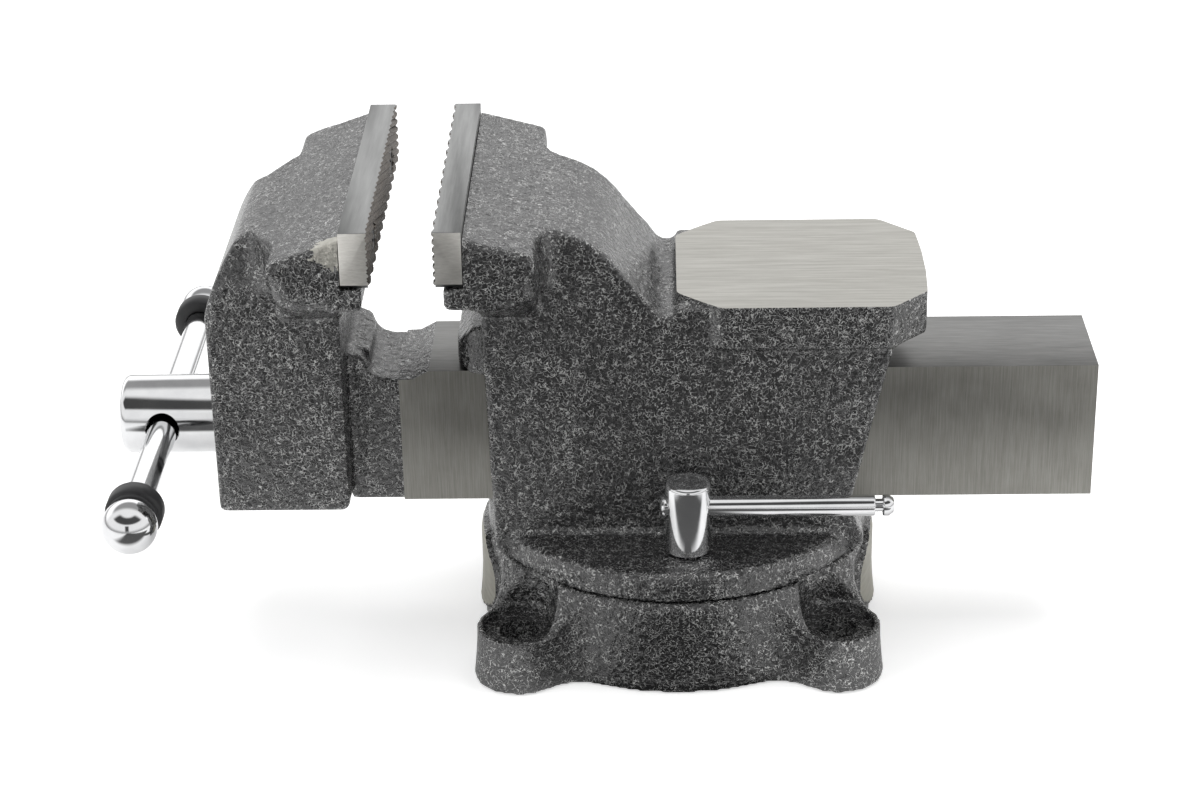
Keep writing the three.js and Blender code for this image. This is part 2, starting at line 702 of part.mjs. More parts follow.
// ---------------------------------------------------------------- assembly

function insertWithScrews(name, faceX, turned180) {
  const group = new THREE.Group();
  group.position.set(faceX, 0, insertBottom);
  if (turned180) group.rotation.z = Math.PI;
  group.add(piece(`${name}_jaw_insert`, jawInsert(), machined));
  for (const [side, y] of [['left', -1], ['right', 1]]) {
    const offset = (y * insertScrewSpacing) / 2;
    group.add(piece(`${name}_insert_screw_${side}`, insertScrew(), darkSteel, 0, offset, insertScrewRise));
  }
  return group;
}

function spindle() {
  const group = new THREE.Group();
  group.position.set(0, 0, screwHeight);
  group.add(piece('main_screw', mainScrew(), chrome));
  const washerFrom = frontFaceX - fit - washerThickness;
  const washer = ring(screwRadius + fit, headRadius + 1.5, washerFrom, washerFrom + washerThickness, 'x');
  group.add(piece('thrust_washer', washer, darkSteel));
  const springStart = channelStart + fit + springWire / 2;
  group.add(piece('spindle_spring', springCoil(), darkSteel, springStart));
  const washerX = channelStart + springLength;
  const back = ring(screwRadius + fit, channelHalf - 1, washerX, washerX + 2.4, 'x');
  group.add(piece('spring_washer', back, darkSteel));
  group.add(piece('split_pin', splitPin(), darkSteel, pinX()));
  return group;
}

const group = new THREE.Group();
group.add(piece('swivel_base', swivelBase(), hammertone));
group.add(piece('static_body', staticBody(), hammertone));
group.add(piece('spindle_nut', spindleNut(), darkSteel, nutX));
group.add(piece('spindle_nut_bolt', nutBolt(), darkSteel, nutX + nutLength / 2));
group.add(insertWithScrews('rear', rearFaceX, false));
group.add(piece('sliding_jaw', slidingJaw(), hammertone));
group.add(insertWithScrews('front', frontInsertX, true));
group.add(spindle());
group.add(handle());
group.add(swivelLock('near', 1));
group.add(swivelLock('far', -1));

export default group;
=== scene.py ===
import bmesh
import bpy
import json
import math
from mathutils import Matrix, Vector


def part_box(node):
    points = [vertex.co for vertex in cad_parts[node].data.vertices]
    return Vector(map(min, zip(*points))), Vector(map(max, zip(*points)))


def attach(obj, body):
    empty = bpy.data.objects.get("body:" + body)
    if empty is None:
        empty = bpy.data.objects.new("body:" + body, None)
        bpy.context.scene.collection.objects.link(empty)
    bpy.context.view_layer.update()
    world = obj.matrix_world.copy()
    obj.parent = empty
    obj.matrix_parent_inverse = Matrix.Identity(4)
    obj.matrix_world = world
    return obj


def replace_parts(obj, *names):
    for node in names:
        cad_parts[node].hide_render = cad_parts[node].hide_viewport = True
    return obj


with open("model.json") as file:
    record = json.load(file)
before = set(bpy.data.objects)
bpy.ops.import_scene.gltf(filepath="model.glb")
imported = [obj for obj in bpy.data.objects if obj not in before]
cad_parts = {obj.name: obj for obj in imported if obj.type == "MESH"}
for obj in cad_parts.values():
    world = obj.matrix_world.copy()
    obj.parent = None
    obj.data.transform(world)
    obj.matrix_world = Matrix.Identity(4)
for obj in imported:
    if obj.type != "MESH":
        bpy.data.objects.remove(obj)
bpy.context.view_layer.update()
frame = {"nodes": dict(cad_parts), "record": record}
record = frame["record"]

# ---------------------------------------------------------------- camera
# It stands square to the side of the vise with a long lens, and looks down
# on it from about 25 degrees.
mm = 0.001
camera_data = bpy.data.cameras.new("camera")
camera_data.sensor_width = 36
camera_data.lens = 85
camera_data.clip_start = 0.05
camera = bpy.data.objects.new("camera", camera_data)
stand = Vector((-7.1, -1117.2, 631.4)) * mm
look_down = math.radians(25.56)
look_left = math.radians(1.34)
roll = math.radians(-1.08)
camera.matrix_world = (
    Matrix.Translation(stand)
    @ Matrix.Rotation(look_left, 4, "Z")
    @ Matrix.Rotation(math.pi / 2 - look_down, 4, "X")
    @ Matrix.Rotation(roll, 4, "Z")
)
bpy.context.scene.collection.objects.link(camera)
bpy.context.scene.camera = camera
bpy.context.scene.view_settings.view_transform = "Standard"


# ---------------------------------------------------------------- studio
# A white room with big soft lights. Bright metal sees it as white panels
# with dark gaps between them, as chrome does in a light tent.
def add(tree, kind, **settings):
    made = tree.nodes.new("ShaderNode" + kind)
    for name, value in settings.items():
        setattr(made, name, value)
    return made


def feed(tree, socket, value):
    """Puts a number, a colour or another node's output into a socket."""
    if isinstance(value, bpy.types.NodeSocket):
        tree.links.new(value, socket)
    elif value is not None:
        socket.default_value = value


def math_of(tree, operation, a, b=None, c=None):
    made = add(tree, "Math", operation=operation)
    for socket, value in zip(made.inputs, (a, b, c)):
        feed(tree, socket, value)
    return made.outputs[0]


def smooth_step(tree, value, low, high):
    made = add(tree, "MapRange", interpolation_type="SMOOTHSTEP")
    feed(tree, made.inputs["Value"], value)
    made.inputs["From Min"].default_value = low
    made.inputs["From Max"].default_value = high
    return made.outputs[0]


def blended(tree, factor, a, b):
    made = add(tree, "Mix", data_type="RGBA")
    feed(tree, made.inputs["Factor"], factor)
    feed(tree, made.inputs["A"], a)
    feed(tree, made.inputs["B"], b)
    return made.outputs["Result"]


def grey(level):
    return (level, level, level, 1)


world = bpy.data.worlds.new("studio")
world.use_nodes = True
bpy.context.scene.world = world
tree = world.node_tree
tree.nodes.clear()
direction = add(tree, "SeparateXYZ")
feed(tree, direction.inputs[0], add(tree, "TexCoord").outputs["Generated"])
side, forward, height = direction.outputs
towards_camera = smooth_step(tree, math_of(tree, "MULTIPLY", forward, -1), 0.05, 0.3)
# the dark gap between the overhead panel and the two side panels
over = math_of(
    tree, "MULTIPLY", smooth_step(tree, height, 0.5, 0.6), smooth_step(tree, height, 0.93, 0.84),
)
over = math_of(tree, "MULTIPLY", over, towards_camera)
# the narrow dark gap straight ahead, between the side panels
aside = math_of(tree, "ABSOLUTE", side)
ahead = math_of(tree, "MULTIPLY", smooth_step(tree, aside, 0.17, 0.08), towards_camera)
ahead = math_of(tree, "MULTIPLY", ahead, smooth_step(tree, height, 0.5, 0.42))
gaps = math_of(tree, "MAXIMUM", over, ahead)
behind = blended(tree, smooth_step(tree, height, 0.66, 0.46), grey(0.35), grey(1.4))
lit = blended(tree, smooth_step(tree, forward, 0.1, 0.4), grey(1.0), behind)
panels = blended(tree, gaps, lit, grey(0.07))
panels = blended(tree, smooth_step(tree, height, 0.0, 0.2), grey(0.4), panels)
upward = smooth_step(tree, height, -0.3, 1.0)
ambient = blended(tree, upward, grey(0.25), grey(0.6))
path = add(tree, "LightPath")
seen = blended(tree, path.outputs["Is Glossy Ray"], ambient, panels)
straight = math_of(tree, "MAXIMUM", path.outputs["Is Camera Ray"], path.outputs["Is Transmission Ray"])
seen = blended(tree, straight, seen, grey(1.0))
background = add(tree, "Background")
feed(tree, background.inputs["Color"], seen)
tree.links.new(background.outputs[0], add(tree, "OutputWorld").inputs[0])


def soft_light(name, place, size, watts):
    lamp = bpy.data.lights.new(name, "AREA")
    lamp.shape = "SQUARE"
    lamp.size = size
    lamp.energy = watts
    made = bpy.data.objects.new(name, lamp)
    made.location = place
    made.rotation_euler = (Vector((0, 0, 0.1)) - made.location).to_track_quat("-Z", "Y").to_euler()
    made.visible_glossy = False
    bpy.context.scene.collection.objects.link(made)


soft_light("top_light", Vector((0.1, 0.5, 1.7)), 1.3, 22)
soft_light("left_light", Vector((-1.6, -0.6, 1.0)), 0.9, 9)
soft_light("right_light", Vector((1.5, -0.9, 0.8)), 0.9, 6)

bm = bmesh.new()
floor_half, floor_drop = 4, 0.2 * mm
bmesh.ops.create_grid(bm, x_segments=1, y_segments=1, size=floor_half)
bmesh.ops.translate(bm, verts=bm.verts, vec=(0, 0, -floor_drop))
floor_mesh = bpy.data.meshes.new("floor")
bm.to_mesh(floor_mesh)
bm.free()
floor = bpy.data.objects.new("floor", floor_mesh)
bpy.context.scene.collection.objects.link(floor)
paper = bpy.data.materials.new("white paper")
paper.use_nodes = True
tree = paper.node_tree
tree.nodes.clear()
path = add(tree, "LightPath")
# reflections show the paper dark in a broad patch ahead of the vise, which a narrow
# strip joins to the base, and white elsewhere
where = add(tree, "SeparateXYZ")
feed(tree, where.inputs[0], add(tree, "TexCoord").outputs["Object"])
sideways = math_of(tree, "ABSOLUTE", where.outputs[0])
broad = math_of(
    tree, "MULTIPLY",
    smooth_step(tree, where.outputs[1], -0.15, -0.21), smooth_step(tree, sideways, 0.4, 0.28),
)
patch = math_of(tree, "MAXIMUM", broad, smooth_step(tree, sideways, 0.06, 0.03))
reflected = path.outputs["Is Glossy Ray"]
matt = add(tree, "BsdfDiffuse")
patch_seen = math_of(tree, "MULTIPLY", patch, reflected)
feed(tree, matt.inputs["Color"], blended(tree, patch_seen, grey(0.82), grey(0.09)))
glow = add(tree, "Emission")
white = math_of(tree, "MULTIPLY", math_of(tree, "SUBTRACT", reflected, patch_seen), 0.2)
strength = math_of(tree, "MULTIPLY_ADD", path.outputs["Is Camera Ray"], 0.5, white)
feed(tree, glow.inputs["Strength"], strength)
both = add(tree, "AddShader")
tree.links.new(matt.outputs[0], both.inputs[0])
tree.links.new(glow.outputs[0], both.inputs[1])
tree.links.new(both.outputs[0], add(tree, "OutputMaterial").inputs[0])
floor.data.materials.append(paper)


# ---------------------------------------------------------------- swivel base
# Grey iron cast in sand, painted black and silver hammertone. The lugs have
# spot faces and drilled holes for the bench bolts.
def new_material(name, metallic, roughness):
    made = bpy.data.materials.new(name)
    made.use_nodes = True
    made.node_tree.nodes.clear()
    shader = add(made.node_tree, "BsdfPrincipled")
    shader.inputs["Metallic"].default_value = metallic
    shader.inputs["Roughness"].default_value = roughness
    output = add(made.node_tree, "OutputMaterial")
    made.node_tree.links.new(shader.outputs[0], output.inputs[0])
    return made, made.node_tree, shader


def place_on(tree, stretch=(1, 1, 1), turn=(0, 0, 0)):
    mapping = add(tree, "Mapping")
    feed(tree, mapping.inputs["Vector"], add(tree, "TexCoord").outputs["Object"])
    mapping.inputs["Scale"].default_value = stretch
    mapping.inputs["Rotation"].default_value = turn
    return mapping.outputs[0]


def noise(tree, place, scale, detail=2.0, roughness=0.5, distortion=0.0):
    made = add(tree, "TexNoise")
    feed(tree, made.inputs["Vector"], place)
    made.inputs["Scale"].default_value = scale
    made.inputs["Detail"].default_value = detail
    made.inputs["Roughness"].default_value = roughness
    made.inputs["Distortion"].default_value = distortion
    return made.outputs["Fac"]


def ramp(tree, value, *stops):
    made = add(tree, "ValToRGB")
    feed(tree, made.inputs[0], value)
    while len(made.color_ramp.elements) < len(stops):
        made.color_ramp.elements.new(0.5)
    for element, (position, colour) in zip(made.color_ramp.elements, stops):
        element.position = position
        element.color = (*colour, 1)
    return made.outputs[0]


def bumped(tree, shader, *layers):
    """Stacks bump layers of (height, strength, depth in metres)."""
    normal = None
    for value, strength, depth in layers:
        made = add(tree, "Bump")
        made.inputs["Strength"].default_value = strength
        made.inputs["Distance"].default_value = depth
        feed(tree, made.inputs["Height"], value)
        feed(tree, made.inputs["Normal"], normal)
        normal = made.outputs[0]
    feed(tree, shader.inputs["Normal"], normal)


def offset(tree, value, gain):
    """A noise value moved to swing round zero, times a gain."""
    return math_of(tree, "MULTIPLY", math_of(tree, "SUBTRACT", value, 0.5), gain)


def hammertone(bare_at=None, bare_reach=1.0):
    """Black paint with silver flake that has drawn together into short worms.
    Round bare_at the paint has chipped off and shows the iron."""
    made, tree, paint = new_material("hammertone paint", 0.35, 0.34)
    place = place_on(tree)
    cells = noise(tree, place, 640, 1.3, 0.5, 0.4)
    ridges = math_of(tree, "ABSOLUTE", math_of(tree, "SUBTRACT", cells, 0.5))
    breaks = noise(tree, place, 330, 2)
    drift = noise(tree, place, 30, 3)
    width = math_of(tree, "MULTIPLY_ADD", math_of(tree, "SUBTRACT", breaks, 0.5), 0.1, 0.013)
    width = math_of(tree, "ADD", width, offset(tree, drift, 0.012))
    # convex edges get wider silver worms: partly edge wear, partly a painted highlight along the edges
    edge = smooth_step(tree, add(tree, "NewGeometry").outputs["Pointiness"], 0.52, 0.6)
    width = math_of(tree, "MULTIPLY_ADD", edge, 0.03, width)
    silver = smooth_step(tree, math_of(tree, "SUBTRACT", width, ridges), -0.016, 0.01)
    flake = noise(tree, place, 2600, 2)
    tint = math_of(tree, "MULTIPLY_ADD", flake, 0.5, math_of(tree, "MULTIPLY", drift, 0.3))
    bright = ramp(tree, tint, (0.25, (0.38, 0.38, 0.376)), (0.55, (0.78, 0.78, 0.77)))
    colour = blended(tree, silver, (0.006, 0.006, 0.0065, 1), bright)
    metallic = math_of(tree, "MULTIPLY_ADD", silver, 0.7, 0.1)
    rough = math_of(tree, "MULTIPLY_ADD", silver, 0.12, 0.22)
    dimples = noise(tree, place, 290, 3, 0.6)
    if bare_at is not None:
        near = add(tree, "VectorMath", operation="DISTANCE")
        feed(tree, near.inputs[0], place)
        near.inputs[1].default_value = bare_at
        ragged = noise(tree, place, 420, 3, 0.6)
        span = math_of(tree, "ADD", near.outputs["Value"], offset(tree, ragged, bare_reach * 1.6))
        chip = smooth_step(tree, span, bare_reach * 1.03, bare_reach * 0.97)
        colour = blended(tree, chip, colour, (0.6, 0.585, 0.53, 1))
        metallic = math_of(tree, "MAXIMUM", metallic, chip)
        rough = math_of(tree, "MAXIMUM", rough, math_of(tree, "MULTIPLY", chip, 0.42))
    feed(tree, paint.inputs["Base Color"], colour)
    feed(tree, paint.inputs["Metallic"], metallic)
    feed(tree, paint.inputs["Roughness"], rough)
    paint.inputs["IOR"].default_value = 2.1
    bumped(tree, paint, (dimples, 1.0, 1.3 * mm), (silver, 0.5, 0.12 * mm))
    return made


def milled(name, light, dark, roughness, stretch, turn=(0, 0, 0), depth=0.03):
    """Bare cut metal: fine cutter lines, faint stains and a soft shine."""
    made, tree, metal = new_material(name, 1.0, roughness)
    lines = noise(tree, place_on(tree, stretch, turn), 1, 3, 0.65)
    cloud = noise(tree, place_on(tree), 38, 4, 0.6)
    grain = noise(tree, place_on(tree), 1500, 2)
    tone = math_of(tree, "MULTIPLY_ADD", lines, 0.6, math_of(tree, "MULTIPLY", cloud, 0.4))
    feed(tree, metal.inputs["Base Color"], ramp(tree, tone, (0.36, dark), (0.62, light)))
    feed(tree, metal.inputs["Roughness"], math_of(tree, "ADD", offset(tree, cloud, 0.25), roughness))
    bumped(tree, metal, (lines, 0.4, depth * mm), (grain, 0.15, 0.02 * mm))
    return made


paint = hammertone()
planed_iron = milled(
    "planed iron", (0.52, 0.51, 0.475), (0.36, 0.35, 0.32), 0.36, (30, 700, 60), depth=0.01,
)
raw_iron = milled(
    "turned raw iron", (0.42, 0.41, 0.36), (0.3, 0.29, 0.25), 0.5, (60, 60, 900), depth=0.05,
)


def box_of(node):
    """The low and high corners of a CAD node's box, in mm."""
    return [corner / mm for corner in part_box(node)]


def copy_of(node):
    """The CAD node's shape as a bmesh with its vertices merged."""
    bm = bmesh.new()
    bm.from_mesh(frame["nodes"][node].data)
    bmesh.ops.remove_doubles(bm, verts=bm.verts, dist=0.001 * mm)
    bmesh.ops.dissolve_limit(bm, angle_limit=math.radians(0.5), verts=bm.verts, edges=bm.edges)
    bm.normal_update()
    return bm


def allow(bm, outward, test):
    """Adds machining allowance: faces that pass the test move outward by a vector in mm."""
    faces = [face for face in bm.faces if test(face.calc_center_median() / mm, face.normal)]
    made = bmesh.ops.extrude_face_region(bm, geom=faces)
    moved = [part for part in made["geom"] if isinstance(part, bmesh.types.BMVert)]
    bmesh.ops.translate(bm, verts=moved, vec=Vector(outward) * mm)
    bmesh.ops.delete(bm, geom=faces, context="FACES_ONLY")


def add_box(bm, low, high):
    """A box between two corners given in mm."""
    low, high = Vector(low) * mm, Vector(high) * mm
    size = Matrix.Diagonal((*(high - low), 1))
    bmesh.ops.create_cube(bm, size=1, matrix=Matrix.Translation((low + high) / 2) @ size)


def turn(bm, profile, foot, aim, segments):
    """A (radius, distance) profile in mm, turned about the line from foot towards aim."""
    foot, aim = Vector(foot) * mm, Vector(aim).normalized()
    across = aim.orthogonal().normalized()
    verts = [bm.verts.new(foot + (across * radius + aim * reach) * mm) for radius, reach in profile]
    edges = [bm.edges.new(pair) for pair in zip(verts, verts[1:])]
    spun = bmesh.ops.spin(
        bm, geom=verts + edges, cent=foot, axis=aim, angle=2 * math.pi, steps=segments, use_merge=True,
    )
    made = {vert for part in spun["geom_last"] for vert in getattr(part, "verts", [part])} | set(verts)
    island, fresh = set(made), list(made)
    while fresh:
        for edge in fresh.pop().link_edges:
            for vert in edge.verts:
                if vert not in island:
                    island.add(vert)
                    fresh.append(vert)
    bmesh.ops.remove_doubles(bm, verts=list(island), dist=0.001 * mm)
    bmesh.ops.recalc_face_normals(bm, faces=bm.faces)


def add_rod(bm, radius, start, end, segments):
    """A rod of a radius in mm between two points in mm."""
    start, end = Vector(start), Vector(end)
    length = (end - start).length
    turn(bm, [(0, 0), (radius, 0), (radius, length), (0, length)], start, end - start, segments)


def piece(name, bm, *materials):
    mesh = bpy.data.meshes.new(name)
    bm.to_mesh(mesh)
    bm.free()
    made = bpy.data.objects.new(name, mesh)
    bpy.context.scene.collection.objects.link(made)
    for material in materials:
        mesh.materials.append(material)
    return made


def apply_modifiers(made):
    bpy.context.view_layer.update()
    seen_from = bpy.context.evaluated_depsgraph_get()
    mesh = bpy.data.meshes.new_from_object(made.evaluated_get(seen_from))
    made.modifiers.clear()
    made.data = mesh


def cast(made, grain, rounding):
    """Turns a rough assembly of solids into one casting with soft edges."""
    sand = made.modifiers.new("sand", "REMESH")
    sand.mode = "VOXEL"
    sand.voxel_size = grain * mm
    soften = made.modifiers.new("soften", "SMOOTH")
    soften.factor = 0.5
    soften.iterations = rounding
    apply_modifiers(made)


def soften_where(made, passes, test):
    """Rounds the casting further where test(place in mm) holds."""
    bm = bmesh.new()
    bm.from_mesh(made.data)
    chosen = [vert for vert in bm.verts if test(vert.co / mm)]
    for _ in range(passes):
        bmesh.ops.smooth_vert(
            bm, verts=chosen, factor=0.5, use_axis_x=True, use_axis_y=True, use_axis_z=True,
        )
    bm.to_mesh(made.data)
    bm.free()


def combine(made, other_bm, operation="DIFFERENCE"):
    """Cuts a set of solids out of a piece, or joins it on, and leaves sharp edges."""
    other = piece("tool", other_bm)
    cut = made.modifiers.new("cut", "BOOLEAN")
    cut.operation = operation
    cut.solver = "MANIFOLD"
    cut.object = other
    apply_modifiers(made)
    bpy.data.objects.remove(other)


def break_edges(made, width, segments, angle=30):
    """A small bevel on every sharp edge."""
    bevel = made.modifiers.new("bevel", "BEVEL")
    bevel.width = width * mm
    bevel.segments = segments
    bevel.limit_method = "ANGLE"
    bevel.angle_limit = math.radians(angle)
    apply_modifiers(made)


def finish_faces(made, choose=None, angle=40):
    """Smooth shading with sharp machined edges; choose(centre, normal) gives a face its finish."""
    bm = bmesh.new()
    bm.from_mesh(made.data)
    bmesh.ops.remove_doubles(bm, verts=bm.verts, dist=0.001 * mm)
    bmesh.ops.dissolve_degenerate(bm, edges=bm.edges, dist=0.001 * mm)
    bm.normal_update()
    for face in bm.faces:
        face.smooth = True
        if choose:
            face.material_index = choose(face.calc_center_median() / mm, face.normal)
    for edge in bm.edges:
        faces = edge.link_faces
        if len(faces) == 2:
            crossing = faces[0].material_index != faces[1].material_index
            edge.smooth = not (crossing or edge.calc_face_angle(0) > math.radians(angle))
    bm.to_mesh(made.data)
    bm.free()


def settle(made, body, slot, *nodes):
    """The piece rides on its body and stands for its CAD nodes."""
    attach(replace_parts(made, *nodes), body)


mount_height = {mount["name"]: mount["pos_m"][2] / mm for mount in record["mounts"]}
lug_height = mount_height["lug_top_front_near"]
bolt_holes = [
    Vector(opening["box_m"][0]).lerp(Vector(opening["box_m"][1]), 0.5) / mm
    for opening in record["physics"]["openings"] if opening["name"].startswith("bolt_hole")
]
seam = box_of("swivel_base")[1].z
spot_radius, spot_depth, hole_radius = 15.5, 0.5, 8.5
boss_radius, boss_foot, boss_proud = spot_radius - 1.5, 1, 1.6
bm = copy_of("swivel_base")
for hole in bolt_holes:
    top_of_boss = (hole.x, hole.y, lug_height + boss_proud)
    add_rod(bm, boss_radius, (hole.x, hole.y, boss_foot), top_of_boss, 32)
base = piece("base_casting", bm, paint, raw_iron)
cast(base, 1.25, 6)
# moulding draft: walls stand out a little more towards the bench, and the two
# turned pads, towards the jaws and the tail, stand proud of the rest
draft_start, draft_foot, draft_top, draft_curve = 76, 1.5, -0.4, 1.5
pad_start, pad_proud, pad_half, pad_middle, pad_rise = 78, 2.0, 36, 23, 20


def on_pad(at):
    return abs(at.x) > pad_start and (at.y / pad_half) ** 2 + ((at.z - pad_middle) / pad_rise) ** 2 < 1


outward_of = [vert.normal.copy() for vert in base.data.vertices]
for vert, outward in zip(base.data.vertices, outward_of):
    at = vert.co / mm
    if at.xy.length > draft_start:
        lean = 1 - min(at.z / lug_height, 1)
        push = draft_top + (draft_foot - draft_top) * lean ** draft_curve
        if on_pad(at) and abs(outward.z) < 0.6:
            push += pad_proud
        vert.co += Vector((outward.x, outward.y, 0)) * push * mm
# each drill starts below the lug; its spot facing cutter widens a little further up
drill_foot, spot_cut, cutter_top, cutter_flare = -2, lug_height - spot_depth, lug_height + 20, 2
bm = bmesh.new()
for hole in bolt_holes:
    turn(bm, [
        (0, drill_foot), (hole_radius, drill_foot), (hole_radius, spot_cut), (spot_radius, spot_cut),
        (spot_radius, lug_height + 6), (spot_radius + cutter_flare, cutter_top), (0, cutter_top),
    ], (hole.x, hole.y, 0), (0, 0, 1), 48)
facing_half, facing_depth = 120, 5
add_box(bm, (-facing_half, -facing_half, -facing_depth), (facing_half, facing_half, 0))
add_box(bm, (-facing_half, -facing_half, seam), (facing_half, facing_half, seam + facing_depth))
combine(base, bm)


def base_face(at, normal):
    return 1 if on_pad(at) and abs(normal.z) < 0.5 and abs(normal.x) > 0.6 else 0


finish_faces(base, base_face)
settle(base, "base", "hammertone_casting", "swivel_base")

# ---------------------------------------------------------------- fixed body
# One casting: the turntable, the body round the bar's tunnel, the rear jaw and
# the anvil. The anvil's top, the tunnel and the seat of the insert are machined.
fit, allowance = 0.3, 3
# a face counts as lying on a plane when it is nearer to it than this
touch = 0.05
anvil_top = mount_height["anvil_top"]
insert_low, insert_high = box_of("rear_jaw_insert")
seat_x = insert_high.x + fit
ledge_z = insert_low.z - fit
jaw_half = insert_high.y
bar_half = 26.2
bar_bottom, bar_top = 62.5, 123.8
anvil_x, anvil_end_x = 0.3, 106.7


def on_anvil(at, normal):
    return anvil_top - touch < at.z < anvil_top + 1 and at.x > anvil_x and normal.z > 0.9


def on_seat(at, normal):
    return abs(at.x - seat_x) < touch and at.z > ledge_z and normal.x < -0.9


bm = copy_of("static_body")
allow(bm, (0, 0, allowance), on_anvil)
allow(bm, (-allowance, 0, 0), on_seat)
# the tunnel is filled here and milled out again after casting
fill_start, fill_end, overlap = -78, 72, 1
add_box(
    bm, (fill_start, -bar_half - overlap, bar_bottom - overlap),
    (fill_end, bar_half + overlap, bar_top + overlap),
)
body = piece("body_casting", bm, paint, planed_iron)
cast(body, 1.3, 6)
# under the overhanging ends of each jaw's block the casting blends into the body
block_bottom, blend_below, blend_above, blend_out, blend_passes = 173, 34, 16, 47, 150
rear_blend_start, rear_blend_end = -77, -35


def under_block(at):
    return abs(at.y) > blend_out and -blend_below < at.z - block_bottom < blend_above


soften_where(body, blend_passes, lambda at: rear_blend_start < at.x < rear_blend_end and under_block(at))
# how far the cutters run past the iron that they cut
past_side, past_top, past_face, planer_half, planed_from = 9, 20, 30, 60, -6
bm = bmesh.new()
add_box(bm, (planed_from, -planer_half, anvil_top), (anvil_end_x + 10, planer_half, anvil_top + 8))
add_box(
    bm, (seat_x - past_face, -jaw_half - past_side, ledge_z),
    (seat_x, jaw_half + past_side, insert_high.z + past_top),
)
combine(body, bm)
mill_start, mill_end = -120, 150
bm = bmesh.new()
add_box(
    bm, (mill_start, -bar_half - fit, bar_bottom - fit), (mill_end, bar_half + fit, bar_top + fit),
)
combine(body, bm)
lock_bore, lock_bore_foot, lock_bore_top = 6.3, 20, 60
bm = bmesh.new()
for where_on in ("near", "far"):
    low, high = box_of(f"lock_bolt_{where_on}")
    middle = (low + high) / 2
    add_rod(
        bm, lock_bore, (middle.x, middle.y, lock_bore_foot), (middle.x, middle.y, lock_bore_top), 40,
    )


def drill_for_screws(bm, jaw_name, seat, outward):
    """Two holes for the screws of an insert, from just off the seat to past their ends."""
    bore, off_seat, past_end = 3.3, 2, 3
    for hand in ("left", "right"):
        low, high = box_of(f"{jaw_name}_insert_screw_{hand}")
        middle = (low + high) / 2
        end = low.x - past_end if outward > 0 else high.x + past_end
        mouth = (seat + outward * off_seat, middle.y, middle.z)
        add_rod(bm, bore, mouth, (end, middle.y, middle.z), 24)


drill_for_screws(bm, "rear", seat_x, -1)
combine(body, bm)


def body_face(at, normal):
    """Planed iron on the anvil's top, the seat and the tunnel; paint elsewhere."""
    planed = anvil_top - 0.06 < at.z < anvil_top + 1 and at.x > planed_from and normal.z > 0.98
    seat = abs(at.x - seat_x) < 0.1 and at.z > ledge_z and normal.x < -0.98
    beside_bar = abs(at.y) < bar_half + fit + touch and bar_bottom - 0.4 < at.z < bar_top + 0.4
    tunnel = beside_bar and abs(normal.x) < 0.3
    return 1 if planed or seat or tunnel else 0


finish_faces(body, body_face)
settle(body, "body", "hammertone_casting", "static_body")

# ---------------------------------------------------------------- rear jaw insert and its twin
# Hardened tool steel, ground on its sides, sawn at its ends, with two families of
# slanting grooves that cross on the working face. Two countersunk screws hold it.
ground_steel = milled(
    "ground steel", (0.31, 0.313, 0.31), (0.22, 0.222, 0.22), 0.33, (500, 30, 500), depth=0.012,
)
# the sawn ends are coloured near white: a painted reflection of the pale floor in front, on top of their
# sawn finish
sawn_steel_painted_reflection = milled(
    "sawn steel with painted reflection", (0.95, 0.93, 0.88), (0.78, 0.76, 0.71), 0.4, (300, 60, 1500), (0.75, 0, 0), 0.03,
)
grip_steel = milled(
    "phosphated grip steel", (0.21, 0.19, 0.17), (0.09, 0.08, 0.072), 0.45, (900, 900, 900), depth=0.05,
)


def jaw_insert(node, body_name, face_x, outward, depth=1.0, slant=17, rise=3.5):
    """Square cutters on edge plough the grooves, each family slanting one way."""
    low, high = box_of(node)
    cutter_length, first_groove = 190, 0.35
    made = piece(node + "_plate", copy_of(node), ground_steel, sawn_steel_painted_reflection, grip_steel)
    break_edges(made, 0.5, 2, 40)
    width = depth * math.sqrt(2)
    run = (high.y - low.y) / 2 * math.tan(math.radians(slant))
    count = math.ceil((high.z - low.z + 2 * run) / rise)
    for way in (-1, 1):
        bm = bmesh.new()
        for k in range(count + 1):
            centre = Vector((face_x, 0, low.z - run + (k + first_groove) * rise)) * mm
            on_edge = Matrix.Rotation(math.pi / 4, 4, "Y")
            tilt = Matrix.Rotation(math.radians(way * slant), 4, "X") @ on_edge
            size = Matrix.Diagonal((width * mm, cutter_length * mm, width * mm, 1))
            bmesh.ops.create_cube(bm, size=1, matrix=Matrix.Translation(centre) @ tilt @ size)
        combine(made, bm)

    def face_of(at, normal):
        in_grooves = abs(at.x - face_x) < depth + touch and normal.x * outward > -0.2
        if in_grooves and abs(normal.y) < 0.95 and abs(normal.z) < 0.99:
            return 2
        # faces towards the ends take the sawn steel with its painted reflection
        return 1 if abs(normal.y) > 0.8 else 0

    finish_faces(made, face_of)
    settle(made, body_name, "machined_steel", node)


def jaw_screw(node, body_name, outward):
    """Countersunk socket screw: its head stands a little below the working face."""
    low, high = box_of(node)
    middle = (low + high) / 2
    length = high.x - low.x
    head_at = (high.x if outward > 0 else low.x, middle.y, middle.z)
    wide, narrow, socket, socket_depth = 6, 3, 2.5, 2.6
    bm = bmesh.new()
    turn(bm, [
        (0, 0), (wide - 0.3, 0), (wide, 0.3), (wide, 0.5), (narrow, 3.7), (narrow, length - 0.8),
        (narrow - 0.6, length), (0, length),
    ], head_at, (-outward, 0, 0), 40)
    made = piece(node + "_finished", bm, dark_steel)
    bm = bmesh.new()
    key = [(0, -1), (socket, -1), (socket, socket_depth), (0, socket_depth + 1)]
    turn(bm, key, head_at, (-outward, 0, 0), 6)
    combine(made, bm)
    finish_faces(made, None, 30)
    settle(made, body_name, "dark_steel", node)


